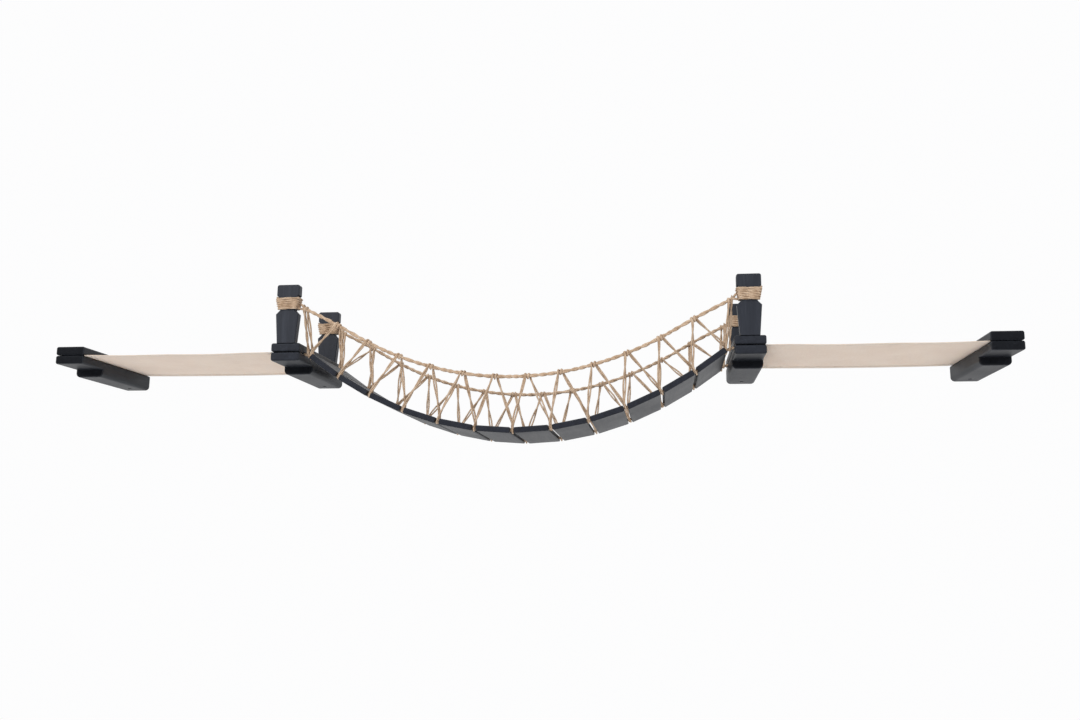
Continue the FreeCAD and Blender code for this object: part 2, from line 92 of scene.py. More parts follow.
# %% Helpers for finishes
def adder(tree):
    """A function that adds a node to a tree, with its settings and with values or links at its inputs."""
    def add(kind, inputs=None, **settings):
        node = tree.nodes.new(kind)
        for key, value in settings.items():
            setattr(node, key, value)
        for key, value in (inputs or {}).items():
            if isinstance(value, bpy.types.NodeSocket):
                tree.links.new(value, node.inputs[key])
            else:
                node.inputs[key].default_value = value
        return node

    return add


def new_finish(name):
    """A material with a Principled shader, and the functions that add and link its nodes."""
    finish = bpy.data.materials.new(name)
    finish.use_nodes = True
    tree = finish.node_tree
    return finish, tree.nodes["Principled BSDF"], adder(tree), tree.links.new


def ramp(add, factor, stops):
    """A colour ramp through (place, colour) stops."""
    node = add("ShaderNodeValToRGB", {"Fac": factor})
    bar = node.color_ramp
    while len(bar.elements) < len(stops):
        bar.elements.new(0.5)
    for element, (place, colour) in zip(bar.elements, stops):
        element.position = place
        element.color = (*colour, 1.0)
    return node.outputs["Color"]


def math_node(add, operation, first, second=0.0):
    """One sum on two numbers or sockets."""
    return add("ShaderNodeMath", {0: first, 1: second}, operation=operation).outputs[0]


def weighted(add, *terms):
    """The sum of sockets, each times its weight, from (socket, weight) pairs."""
    total = None
    for socket, weight in terms:
        term = math_node(add, "MULTIPLY", socket, weight)
        total = term if total is None else math_node(add, "ADD", total, term)
    return total


def noise(add, place, scale, detail=2.0, **more):
    """The grey value of a noise texture."""
    inputs = {"Vector": place, "Scale": scale, "Detail": detail, **more}
    return add("ShaderNodeTexNoise", inputs).outputs["Fac"]


def set_bump(add, link, shader, height, strength, distance):
    """Gives a shader a bump from a height."""
    bump = add("ShaderNodeBump", {"Height": height, "Strength": strength, "Distance": distance})
    link(bump.outputs["Normal"], shader.inputs["Normal"])


# %% Jute finish
JUTE_TONES = [(0.25, (0.236, 0.142, 0.079)), (0.5, (0.475, 0.324, 0.208)),
              (0.72, (0.625, 0.467, 0.332)), (0.9, (0.755, 0.62, 0.47))]
# Two sets of fibre lines: how often they go round a strand, their pace along it, and their weight
FIBRE_LINES = ((5.0, 1.7, 0.3), (9.0, 3.1, 0.2))


def jute_finish():
    """Dull tan fibre on the strand's UV map."""
    finish, shader, add, link = new_finish("jute")
    strand = add("ShaderNodeUVMap", uv_map="strand").outputs["UV"]
    split = add("ShaderNodeSeparateXYZ", {"Vector": strand})
    lines = []
    for turns, pace, weight in FIBRE_LINES:
        phase = weighted(add, (split.outputs["X"], turns), (split.outputs["Y"], pace))
        wave = math_node(add, "SINE", math_node(add, "MULTIPLY", phase, 2 * math.pi))
        lines.append((wave, weight))
    fibre = weighted(add, *lines)
    place = add("ShaderNodeTexCoord").outputs["Object"]
    patches = noise(add, place, scale=90.0, detail=3.0)
    specks = noise(add, place, scale=900.0)
    shade = weighted(add, (patches, 0.75), (specks, 0.45), (fibre, 0.28))
    link(ramp(add, shade, JUTE_TONES), shader.inputs["Base Color"])
    height = weighted(add, (fibre, 1.0), (specks, 0.6))
    set_bump(add, link, shader, height, strength=0.7, distance=0.0004)
    shader.inputs["Roughness"].default_value = 0.86
    shader.inputs["Specular IOR Level"].default_value = 0.25
    shader.inputs["Sheen Weight"].default_value = 0.15
    shader.inputs["Sheen Roughness"].default_value = 0.5
    return finish


jute = jute_finish()
print("finish", jute.name, "with", len(jute.node_tree.nodes), "nodes")

# %% [markdown]
# A rope follows a smooth line and is twisted from strands. The line is a NURBS spline through the
# rope's main points, because such a spline bends evenly, as rope does. The strands could be copied with
# an Array and a Curve modifier, but those stretch in tight bends. Here each strand is a tube round its
# own screw line about the rope's line, with an uneven thickness and loose fibres.

# %% The rope's line
STARTS_ALONG_Y = 0.9


def smooth_line(points, closed=False):
    """Points along the smooth spline that a list of route points controls."""
    data = bpy.data.curves.new("route", "CURVE")
    data.dimensions = "3D"
    spline = data.splines.new("NURBS")
    spline.points.add(len(points) - 1)
    for spot, place in zip(spline.points, points):
        spot.co = (*place, 1.0)
    spline.order_u = 3
    spline.use_endpoint_u = not closed
    spline.use_cyclic_u = closed
    spline.resolution_u = 12
    route = bpy.data.objects.new("route", data)
    bpy.context.scene.collection.objects.link(route)
    mesh = bpy.data.meshes.new_from_object(route)
    line = np.array([v.co for v in mesh.vertices])
    bpy.data.objects.remove(route)
    bpy.data.meshes.remove(mesh)
    return np.vstack([line, line[:1]]) if closed else line


def evenly(line, step):
    """The same line with its points a step apart, and how far along it each one is."""
    reach = np.concatenate(([0.0], np.cumsum(np.linalg.norm(np.diff(line, axis=0), axis=1))))
    marks = np.linspace(0.0, reach[-1], max(3, round(reach[-1] / step) + 1))
    return np.stack([np.interp(marks, reach, line[:, i]) for i in range(3)], axis=1), marks


def unit(vectors):
    """The same directions with a length of one."""
    return vectors / np.maximum(np.linalg.norm(vectors, axis=-1, keepdims=True), 1e-12)


def across(line):
    """Two directions square to a line at each point, carried along it without turning about it."""
    forward = unit(np.gradient(line, axis=0))
    # Y is the helper direction, or X where the line starts along Y
    helper = (0.0, 1.0, 0.0) if abs(forward[0][1]) < STARTS_ALONG_Y else (1.0, 0.0, 0.0)
    side = np.cross(forward[0], helper)
    sides = []
    for direction in forward:
        side = unit(side - direction * (side @ direction))
        sides.append(side)
    sides = np.array(sides)
    return sides, np.cross(forward, sides)


# %% Strands and loose fibres
SIDES = 7
ROPE_STEP, CORD_STEP = 0.0022, 0.0018
ANY_ANGLE = 6.28
# How far a strand lies from the rope's line, as a share of its thickness, in ropes of two and of three
OFF_SHARES = {2: 0.47, 3: 0.55}
SWELL_MEAN, SWELL_SWING, SWELL_WAVES = 1.04, 0.09, (90.0, 210.0, 470.0)
SLOW_WAVE, QUICK_WAVE, QUICK_SHARE = 41.0, 97.0, 0.6
FIBRE_SHORT, FIBRE_LONG, FIBRE_ROOT_SHARE = 0.002, 0.0055, 0.9


def twisted(line, strands, thick, lay, seed, fibres, step=ROPE_STEP, parting=None, wander=0.0):
    """Strands twisted about a line: their rings of corners, and the loose fibres that stand off them.

    Thick is a strand's thickness, lay the length of one full turn and fibres their number in a metre.
    Parting, a function of the line's points and of how far along they are, says how far the strands
    stand apart. Wander makes the twist tighter in places and looser in others.
    """
    chance = np.random.default_rng(seed)
    line, marks = evenly(line, step)
    side, up = across(line)
    uneven = wander * (np.sin(marks * SLOW_WAVE + seed) + QUICK_SHARE * np.sin(marks * QUICK_WAVE + 2 * seed))
    # The rope has a whole number of half turns
    lay = 2 * marks[-1] / max(1, round(2 * marks[-1] / lay))
    off = thick * OFF_SHARES[strands] * np.ones(len(line))
    if parting:
        off = off + parting(line, marks)
    rings, loose = [], []
    angles = 2 * math.pi * np.arange(SIDES) / SIDES
    for strand in range(strands):
        turn = 2 * math.pi * (marks / lay + strand / strands) + uneven
        middle = line + off[:, None] * (np.cos(turn)[:, None] * side + np.sin(turn)[:, None] * up)
        s, u = across(middle)
        waves = sum(np.sin(marks * f + chance.uniform(0, ANY_ANGLE)) for f in SWELL_WAVES) / len(SWELL_WAVES)
        radius = thick / 2 * (SWELL_MEAN + SWELL_SWING * waves)
        ring = np.cos(angles)[None, :, None] * s[:, None] + np.sin(angles)[None, :, None] * u[:, None]
        rings.append(middle[:, None] + radius[:, None, None] * ring)
        for spot in chance.integers(1, len(line) - 1, int(fibres * marks[-1] / strands)):
            angle = chance.uniform(0, ANY_ANGLE)
            out = math.cos(angle) * s[spot] + math.sin(angle) * u[spot]
            root = middle[spot] + out * radius[spot] * FIBRE_ROOT_SHARE
            along = unit(middle[min(spot + 1, len(line) - 1)] - middle[spot - 1]) * chance.choice((-1, 1))
            loose.append((spot, root, out, along, chance.uniform(FIBRE_SHORT, FIBRE_LONG)))
    return line, marks, np.array(rings), loose


# %% Skin: rings and fibres become a mesh
TIP_SHARE = 0.86
UV_PER_METRE = 100
FIBRE_HALF_WIDTH = 0.00009
TIP_LIFT, BEND_ALONG, BEND_LIFT = 0.55, 0.55, 0.1


def skin(name, marks, rings, loose, runs):
    """One mesh from runs of rings. A run is (first ring, last ring, thin rings at its start, at its end)."""
    corners, faces, skins = [], [], []
    v = marks * UV_PER_METRE
    for first, last, thin_start, thin_end in runs:
        for strand in rings:
            base = len(corners)
            for i in range(first, last + 1):
                ring = strand[i]
                if i < first + thin_start or i > last - thin_end:
                    ring = ring.mean(axis=0) + (ring - ring.mean(axis=0)) * TIP_SHARE
                corners.extend(ring)
            for i in range(first, last):
                low = base + (i - first) * SIDES
                high = low + SIDES
                for j in range(SIDES):
                    k = (j + 1) % SIDES
                    faces.append((low + j, low + k, high + k, high + j))
                    near, far = j / SIDES, (j + 1) / SIDES
                    skins.append([(near, v[i]), (far, v[i]), (far, v[i + 1]), (near, v[i + 1])])
            end = base + (last - first) * SIDES
            faces.append(tuple(base + j for j in reversed(range(SIDES))))
            faces.append(tuple(end + j for j in range(SIDES)))
            skins.append([(j / SIDES, v[first]) for j in reversed(range(SIDES))])
            skins.append([(j / SIDES, v[last]) for j in range(SIDES)])
        for spot, root, out, along, length in loose:
            tip = root + along * length + out * length * TIP_LIFT
            # A fibre belongs to the run that it grows on, and none may stick into the wall
            if not first <= spot <= last or tip[1] > 0:
                continue
            wide = np.cross(out, along) * FIBRE_HALF_WIDTH
            bend = root + along * length * BEND_ALONG + out * length * BEND_LIFT
            base = len(corners)
            corners.extend([root - wide, root + wide, bend + wide, bend - wide, tip])
            faces += [(base, base + 1, base + 2, base + 3), (base + 3, base + 2, base + 4)]
            skins += [[(0.5, v[spot])] * 4, [(0.5, v[spot])] * 3]
    mesh = bpy.data.meshes.new(name)
    mesh.from_pydata([tuple(c) for c in corners], [], faces)
    layer = mesh.uv_layers.new(name="strand")
    layer.data.foreach_set("uv", np.array([c for f in skins for c in f], np.float32).ravel())
    mesh.shade_smooth()
    piece = bpy.data.objects.new(name, mesh)
    bpy.context.scene.collection.objects.link(piece)
    mesh.materials.append(jute)
    return piece


# %% [markdown]
# The deck is a chain of planks, and the long ropes follow its sag. One piece can follow two neighbouring
# bodies at most, so each long rope is cut at the middle of every plank, where it lies in the plank's bore
# or right above it. At the deck's middle gap the chain is open, so the stretch there is cut in two, thin
# tips overlap, and each of the two halves follows the plank beside it; the other stretches stay in place.

# %% Planks and the cuts between them
PLANKS = ["plank_%02d" % (i + 1) for i in range(12)]
HALF, LAST = len(PLANKS) // 2, len(PLANKS) + 1
middles = np.array([tuple((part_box(p)[0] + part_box(p)[1]) / 2) for p in PLANKS])
# Where the deck bends, in the gaps between the planks, as (x, z)
BENDS = [(-0.4325, 0.0006), (-0.3656, -0.047), (-0.2985, -0.0862), (-0.2277, -0.1182), (-0.1538, -0.1422),
         (-0.0775, -0.157), (0.0, -0.162), (0.0775, -0.157), (0.1538, -0.1422), (0.2277, -0.1182),
         (0.2985, -0.0862), (0.3656, -0.047), (0.4325, 0.0006)]
# Where the handrails are tied, as (x, z)
KNOTS = [(-0.4295, 0.0896), (-0.3634, 0.0557), (-0.2973, 0.0173), (-0.2313, -0.0126), (-0.1652, -0.0345),
         (-0.0991, -0.0488), (-0.033, -0.0559), (0.033, -0.0559), (0.0991, -0.0488), (0.1652, -0.0345),
         (0.2313, -0.0126), (0.2973, 0.0173), (0.3634, 0.0557), (0.4295, 0.0896)]
directions = unit(np.array([(b[0] - a[0], 0.0, b[1] - a[1]) for a, b in zip(BENDS, BENDS[1:])]))
print("planks from x", round(middles[0][0], 3), "to", round(middles[-1][0], 3))


# %% Cut a rope and hang it on the planks
TIP_RINGS = 2


def hang_on_planks(name, line, marks, rings, loose):
    """Cuts a rope at the planks' middles; the two halves at the middle gap follow the plank beside them."""
    passed = np.array([(line - m) @ d > 0 for m, d in zip(middles, directions)]).sum(axis=0)
    beside_gap = np.where(line[:, 0] < 0, HALF, HALF + 1)
    stretch = np.where(passed < HALF, passed, np.where(passed > HALF, passed + 1, beside_gap))
    for number in range(LAST + 1):
        inside = np.flatnonzero(stretch == number)
        at_gap = number in (HALF, HALF + 1)
        runs = []
        for part in np.split(inside, np.flatnonzero(np.diff(inside) > 1) + 1):
            first, last = int(part[0]), min(int(part[-1]) + 1, len(line) - 1)
            # Across the open gap lies stretch LAST - number
            open_start = at_gap and first > 0 and stretch[first - 1] == LAST - number
            open_end = at_gap and last < len(line) - 1 and stretch[last] == LAST - number
            tip_start, tip_end = TIP_RINGS * open_start, TIP_RINGS * open_end
            runs.append((max(0, first - tip_start), min(len(line) - 1, last + tip_end), tip_start, tip_end))
        piece = skin("%s_%02d" % (name, number + 1), marks, rings, loose, runs)
        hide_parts(name)
        if at_gap:
            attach(piece, PLANKS[HALF - 1] if number == HALF else PLANKS[HALF])
        elif number == 0:
            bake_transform(piece)
        elif number == LAST:
            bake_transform(piece)
        else:
            # The gap has two stretches, so those after it are numbered one higher
            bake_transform(piece)
    print(name, "in", LAST + 1, "stretches,", round(marks[-1], 3), "m long")


# %% [markdown]
# The handrails are the thickest ropes: two fat, soft strands, pressed into each other, so their twist
# shows as shallow lumps, not quite regular. Each one comes out of the wrap on a post, drops to its first
# knot and then runs above the deck.

# %% Handrails
RAIL_STRAND, RAIL_LAY, RAIL_SEED, RAIL_FIBRES, RAIL_WANDER = 0.0047, 0.038, 11, 500, 0.7
PRESSED = 0.0007
PARTED, PARTED_REACH, PARTED_CURVE = 0.0042, 0.024, 1.5
RAIL_END_X, RAIL_END_Z = 0.4505, 0.099
# Each row of ropes: its name, and the Y of its posts and of its bores
ROPE_ROWS = (("front", -0.271, -0.244), ("back", -0.017, -0.044))
rail_route = [(-RAIL_END_X, RAIL_END_Z)] + KNOTS + [(RAIL_END_X, RAIL_END_Z)]


def parted_ends(line, marks):
    """The two strands come out of a wrap apart and close up within a short way."""
    from_end = np.minimum(marks, marks[-1] - marks)
    return PARTED * np.clip(1 - from_end / PARTED_REACH, 0, 1) ** PARTED_CURVE - PRESSED


for number, (row, post_y, _) in enumerate(ROPE_ROWS):
    line = smooth_line([(x, post_y, z) for x, z in rail_route])
    rope = twisted(line, strands=2, thick=RAIL_STRAND, lay=RAIL_LAY, seed=RAIL_SEED + number,
                   fibres=RAIL_FIBRES, parting=parted_ends, wander=RAIL_WANDER)
    hang_on_planks("handrail_" + row, *rope)

# %% [markdown]
# The carriers bear the planks. They run through a bore near each end of every plank and show in the gaps
# only. Each end turns back round itself in a stopper knot, which sits in a pocket of its tower between
# the arm and the clamp bar. The knot is more points of the rope's own line, twelve for a turn.

# %% Carriers
CARRIER_STRAND, CARRIER_LAY, CARRIER_SEED, CARRIER_FIBRES = 0.0029, 0.03, 21, 150
CARRIER_Z = BENDS[0][1]
TURN_STEPS = 12
KNOT_STEPS = 18
KNOT_NEAR, KNOT_FAR, KNOT_LONG, KNOT_RADIUS = 0.448, 0.4585, 0.007, 0.0042


def deck_route(end_x):
    """The way of a carrier through the planks, from one tower to the other, as (x, z)."""
    return [(-end_x, CARRIER_Z)] + BENDS + [(end_x, CARRIER_Z)]


def stopper_knot(side, y):
    """The points of a turn and a half, from the far side of the knot back to its near side."""
    route = []
    for i in range(KNOT_STEPS + 1):
        x = side * (KNOT_FAR - KNOT_LONG * i / KNOT_STEPS)
        angle = 2 * math.pi * i / TURN_STEPS
        route.append((x, y + KNOT_RADIUS * math.cos(angle), CARRIER_Z + KNOT_RADIUS * math.sin(angle)))
    return route


for number, (row, _, bore_y) in enumerate(ROPE_ROWS):
    deck = [(x, bore_y, z) for x, z in deck_route(KNOT_NEAR)]
    line = smooth_line(stopper_knot(-1, bore_y)[::-1] + deck + stopper_knot(1, bore_y))
    rope = twisted(line, strands=3, thick=CARRIER_STRAND, lay=CARRIER_LAY, seed=CARRIER_SEED + number,
                   fibres=CARRIER_FIBRES)
    hang_on_planks("carrier_" + row, *rope)

# %% [markdown]
# Each handrail is laced to its carrier with a doubled cord. At every knot it goes a turn and a half round
# the rail, so that its two legs part there, and in every gap it goes under the carrier. The legs are
# pulled straight. A spline bends all the way between two points, so each leg has two more points, about
# six diameters from its ends. The two cords are squeezed together at the knots and come apart a little in
# the legs, where they turn slowly about each other.

# %% Lacings: where the cords part
LACING_STRAND, LACING_LAY, LACING_SEED, LACING_FIBRES = 0.0034, 0.155, 31, 330
APART, APART_FROM, APART_OVER, APART_WAVE = 0.0006, 0.012, 0.025, 140
SQUEEZED, SQUEEZED_REACH = 0.0007, 0.010
LACED_END_X = 0.455
carrier_route = deck_route(LACED_END_X)
rail_line = smooth_line([(x, 0.0, z) for x, z in rail_route])
deck_line = smooth_line([(x, 0.0, z) for x, z in carrier_route])


def rail_height(x):
    """The height of the handrails' line."""
    return np.interp(x, rail_line[:, 0], rail_line[:, 2])


def parted_legs(line, marks):
    """The doubled cord opens with the distance from the handrail and from the carrier."""
    below_rail = rail_height(line[:, 0]) - line[:, 2]
    above_deck = line[:, 2] - np.interp(line[:, 0], deck_line[:, 0], deck_line[:, 2])
    opening = np.clip((np.minimum(below_rail, above_deck) - APART_FROM) / APART_OVER, 0, 1)
    apart = APART * opening * (1 + np.sin(line[:, 0] * APART_WAVE))
    return apart - SQUEEZED * np.clip(1 - below_rail / SQUEEZED_REACH, 0, 1)


# %% Lacings: ties and legs
UPRIGHT = np.array((0.0, 0.0, 1.0))
END_LEG_X = 0.4322
UNDER = 0.0049
LEG_ABOVE_DECK, LEG_BELOW_TIE, LEG_SHARES = 0.010, 0.005, (0.27, 0.73)
TIE_RADIUS = 0.0043
# How far round the handrail a tie goes, in turns from its outer side, and how far along it
FIRST_TIE = (-0.4, 0.5), (-0.0035, 0.0)
MIDDLE_TIE = (0.0, 1.5), (-0.005, 0.005)
LAST_TIE = (0.0, 0.9), (0.0, 0.0035)


def rail_tie(top, up, inward, turns, shifts):
    """Points round the handrail, twelve to the turn."""
    along = np.array((up[2], 0.0, -up[0]))
    count = round(TURN_STEPS * (turns[1] - turns[0])) + 1
    points = []
    for turn, shift in zip(np.linspace(*turns, count), np.linspace(*shifts, count)):
        ring = up * math.sin(2 * math.pi * turn) - inward * math.cos(2 * math.pi * turn)
        points.append(top + along * shift + ring * TIE_RADIUS)
    return points


def straight_leg(start, end):
    """The ends of a leg and the two points that keep it straight between them."""
    return [start] + [start + (end - start) * share for share in LEG_SHARES] + [end]


def on_spline(points):
    """The places on a spline that lie next to its control points, without the first and the last."""
    return [(a + 6 * b + c) / 8 for a, b, c in zip(points, points[1:], points[2:])]


def square_to(points, k):
    """The upward direction square to a route, past its point k."""
    way = unit(points[k + 2] - points[k])
    return np.array((-way[2], 0.0, way[0]))


def lacing_route(rail_y, bore_y):
    """The points of a lacing, from the left tower to the right: a tie, a leg down, a leg up and so on."""
    rail = np.array([(x, rail_y, z) for x, z in rail_route])
    bore = np.array([(x, bore_y, z) for x, z in carrier_route])
    inward = np.array((0.0, 1.0 if bore_y > rail_y else -1.0, 0.0))
    tops, lows = on_spline(rail), on_spline(bore)
    leans = [UPRIGHT] + [square_to(bore, k) for k in range(1, len(lows) - 1)] + [UPRIGHT]
    ties = [FIRST_TIE] + [MIDDLE_TIE] * (len(tops) - 2) + [LAST_TIE]
    route = []
    for k, top in enumerate(tops):
        up = hang = square_to(rail, k)
        if k in (0, len(tops) - 1):
            hang = UPRIGHT
            end_x = END_LEG_X if k else -END_LEG_X
            top = np.array((end_x, top[1], rail_height(end_x)))
        tie = rail_tie(top, up, inward, *ties[k])
        if k > 0:
            start = lows[k - 1] - inward * UNDER + leans[k - 1] * LEG_ABOVE_DECK
            route += straight_leg(start, tie[0] - hang * LEG_BELOW_TIE)
        route += tie
        if k < len(lows):
            low, lean = lows[k], leans[k]
            end = low + inward * UNDER + lean * LEG_ABOVE_DECK
            route += straight_leg(tie[-1] - hang * LEG_BELOW_TIE, end)
            route += [low + inward * UNDER - lean * UNDER, low - inward * UNDER - lean * UNDER]
    return route


for number, (row, post_y, bore_y) in enumerate(ROPE_ROWS):
    line = smooth_line(lacing_route(post_y, bore_y))
    rope = twisted(line, strands=2, thick=LACING_STRAND, lay=LACING_LAY, seed=LACING_SEED + number,
                   fibres=LACING_FIBRES, step=CORD_STEP, parting=parted_legs)
    hang_on_planks("lacing_" + row, *rope)

# %% [markdown]
# Round each post, in the notch under its head, a cord is wound five times, tight and flat. One turn is a
# list of shares of the post's half width and half depth, and the turns climb steadily and widen with the
# notch. Three strands with a long twist give each turn a smooth look.

# %% Post wraps
TOWERS = (("left", -1), ("right", 1))
TURN_SHARES = [(1.0, 0.5), (1.0, 1.0), (0.7, 1.0), (-0.7, 1.0), (-1.0, 1.0), (-1.0, 0.5),
               (-1.0, -0.5), (-1.0, -1.0), (-0.7, -1.0), (0.7, -1.0), (1.0, -1.0), (1.0, -0.5)]
BAR_TOP = 0.0192
POST_X, POST_HALF_DEPTH = 0.472, 0.009
NOTCH_FOOT, NOTCH_HEIGHT, NOTCH_HALF_WIDTH, NOTCH_FLARE = 0.070, 0.029, 0.0155, 0.006
WRAP_WIDTH, WRAP_STEPS, WRAP_FOOT, WRAP_RISE = 0.0054, 60, 0.0725, 0.0245
WRAP_STRAND, WRAP_LAY, WRAP_SEED, WRAP_FIBRES = WRAP_WIDTH / 2, 0.075, 41, 450


def wrap_route(post_x, post_y, side):
    """The points of a wrap, from the outer face of its tower round and up."""
    route = []
    for i in range(WRAP_STEPS + 1):
        wide_share, deep_share = TURN_SHARES[(i + TURN_STEPS // 2) % TURN_STEPS]
        height = WRAP_FOOT + WRAP_RISE * i / WRAP_STEPS
        half_width = NOTCH_HALF_WIDTH + (height - NOTCH_FOOT) / NOTCH_HEIGHT * NOTCH_FLARE + WRAP_WIDTH / 2
        half_depth = POST_HALF_DEPTH + WRAP_WIDTH / 2
        x = post_x - side * wide_share * half_width
        route.append((x, post_y + deep_share * half_depth, BAR_TOP + height))
    return route


def fasten(name, line, marks, rings, loose):
    """One rope in one piece, which stays with the frame."""
    piece = skin("rope_" + name, marks, rings, loose, [(0, len(line) - 1, 0, 0)])
    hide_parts(name)
    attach(piece, "frame")
    print(name, round(marks[-1], 3), "m of rope")


for number, (side_name, side) in enumerate(TOWERS):
    for row, post_y, _ in ROPE_ROWS:
        line = smooth_line(wrap_route(side * POST_X, post_y, side))
        rope = twisted(line, strands=3, thick=WRAP_STRAND, lay=WRAP_LAY, seed=WRAP_SEED + number,
                       fibres=WRAP_FIBRES)
        fasten("wrap_%s_%s" % (side_name, row), *rope)

# %% [markdown]
# Beside each tower a lashing ties the handrail down to the carrier. It is a closed loop round both
# ropes, and between them its two legs are drawn together, so that it looks like one wide strand.

# %% Lashings
LASHING_STRAND, LASHING_LAY, LASHING_SEED, LASHING_FIBRES = 0.0024, 0.06, 51, 330
LASHING_TOP_X, LASHING_LOW_X = 0.4384, 0.4340
LOOP_OVER, LOOP_UNDER, LEGS_APART = 0.0060, 0.0052, 0.0019
LEG_NEAR, LEG_FAR = 0.014, 0.034


def loop_route(side, rail_y, bore_y):
    """The points of a lashing: over the handrail, down, under the carrier and up again."""
    top_x = side * LASHING_TOP_X
    top = np.array((top_x, rail_y, rail_height(top_x)))
    low = np.array((side * LASHING_LOW_X, bore_y, CARRIER_Z))
    up = unit(top - low)
    out = np.cross(up, (1.0, 0.0, 0.0))
    legs = [top - up * LEG_NEAR, top - up * LEG_FAR, low + up * LEG_FAR, low + up * LEG_NEAR]
    route = [top + up * LOOP_OVER - out * LOOP_OVER, top + up * LOOP_OVER + out * LOOP_OVER]
    route += [leg + out * LEGS_APART for leg in legs]
    route += [low - up * LOOP_UNDER + out * LOOP_UNDER, low - up * LOOP_UNDER - out * LOOP_UNDER]
    return route + [leg - out * LEGS_APART for leg in reversed(legs)]


for side_name, side in TOWERS:
    for row, post_y, bore_y in ROPE_ROWS:
        line = smooth_line(loop_route(side, post_y, bore_y), closed=True)
        rope = twisted(line, strands=2, thick=LASHING_STRAND, lay=LASHING_LAY, seed=LASHING_SEED,
                       fibres=LASHING_FIBRES, step=CORD_STEP)
        fasten("lashing_%s_%s" % (side_name, row), *rope)

# %% [markdown]
# All the wood is stained black and has a satin finish. The stain leaves the grain faintly visible, so the
# colour is a stretched noise along the board, and the pores give a fine bump. The rounded edges get a
# painted highlight: a Bevel node finds them by comparing a rounded normal with the real one, and they are
# mixed a little lighter. End grain drinks more stain than the long sides, so the ends of the boards are
# darker and duller and have a finish of their own. The front ends of the towers are smoother, and lighter
# again with painted light, as from above and in front, and get their finish by the place of their faces.

# %% Black wood
STAIN_STOPS = (0.3, 0.55, 0.75)
# The lighter colour of the painted highlight on the rounded edges
EDGE_HIGHLIGHT_TONE = (0.062, 0.062, 0.066, 1.0)
WOOD_ROUGH_SPREAD = 0.14


def black_wood(name, stretch, stain_colours, shine, rough):
    """Stained wood whose grain runs along the axis with the smallest stretch."""
    finish, shader, add, link = new_finish(name)
    place = add("ShaderNodeTexCoord").outputs["Object"]
    board = add("ShaderNodeMapping", {"Vector": place, "Scale": stretch}).outputs["Vector"]
    grain = noise(add, board, scale=5.0, detail=7.0, Roughness=0.62, Distortion=0.6)
    pores = noise(add, board, scale=32.0, detail=3.0, Roughness=0.7)
    cloud = noise(add, place, scale=9.0)
    stain = ramp(add, grain, list(zip(STAIN_STOPS, stain_colours)))
    # Painted highlight: the rounded edges that the Bevel node finds are mixed towards a lighter colour
    rounded = add("ShaderNodeBevel", {"Radius": 0.0028}, samples=4).outputs["Normal"]
    true = add("ShaderNodeNewGeometry").outputs["Normal"]
    same = add("ShaderNodeVectorMath", {0: rounded, 1: true}, operation="DOT_PRODUCT").outputs["Value"]
    span = {"Value": same, "From Min": 0.995, "From Max": 0.93, "To Min": 0.0, "To Max": 0.4}
    painted_edge_highlight = math_node(add, "MULTIPLY", add("ShaderNodeMapRange", span).outputs["Result"], cloud)
    colour = add("ShaderNodeMix", {"Factor": painted_edge_highlight, "A": stain, "B": EDGE_HIGHLIGHT_TONE}, data_type="RGBA")
    link(colour.outputs["Result"], shader.inputs["Base Color"])
    mixed = math_node(add, "ADD", grain, cloud)
    dull = {"Value": mixed, "From Min": 0.6, "From Max": 1.4, "To Min": rough,
            "To Max": rough + WOOD_ROUGH_SPREAD}
    link(add("ShaderNodeMapRange", dull).outputs["Result"], shader.inputs["Roughness"])
    height = weighted(add, (pores, 1.0), (grain, 0.8))
    set_bump(add, link, shader, height, strength=0.22, distance=0.0006)
    shader.inputs["Specular IOR Level"].default_value = shine
    return finish


# %% Finishes for boards, planks and posts
POST_STAIN = ((0.0110, 0.0136, 0.0214), (0.0178, 0.0214, 0.0312), (0.0298, 0.0343, 0.0462))
BOARD_STAIN = ((0.0062, 0.0076, 0.0112), (0.0150, 0.0175, 0.0232), (0.0335, 0.0370, 0.0445))
PLANK_END_STAIN = ((0.0075, 0.0092, 0.0145), (0.0125, 0.0150, 0.0235), (0.0205, 0.0240, 0.0345))
# Painted light: the front faces of the tower noses are coloured lighter, for the light that falls on them
# from above and in front
NOSE_LIT_TONES = ((0.0095, 0.0114, 0.0178), (0.0150, 0.0178, 0.0262), (0.0245, 0.0285, 0.0390))
END_STAIN = ((0.0036, 0.0043, 0.0064), (0.0062, 0.0073, 0.0102), (0.0106, 0.0122, 0.0160))
ALONG_Y, ALONG_Z, ALL_WAYS = (26.0, 1.8, 26.0), (26.0, 26.0, 1.8), (26.0, 26.0, 26.0)
# A face looks along an axis when its normal has more than this share of it
LOOKS_ALONG = 0.75
NOSE_Y = -0.27


def dress(finish, names, end_finish=None, axis=1):
    """Puts a finish on nodes, and another on those of their faces that look along an axis."""
    for name in names:
        mesh = nodes[name].data
        mesh.materials.clear()
        mesh.materials.append(finish)
        if end_finish:
            mesh.materials.append(end_finish)
            ends = [int(abs(face.normal[axis]) > LOOKS_ALONG) for face in mesh.polygons]
            mesh.polygons.foreach_set("material_index", ends)
    print(finish.name, "on", len(names), "nodes")


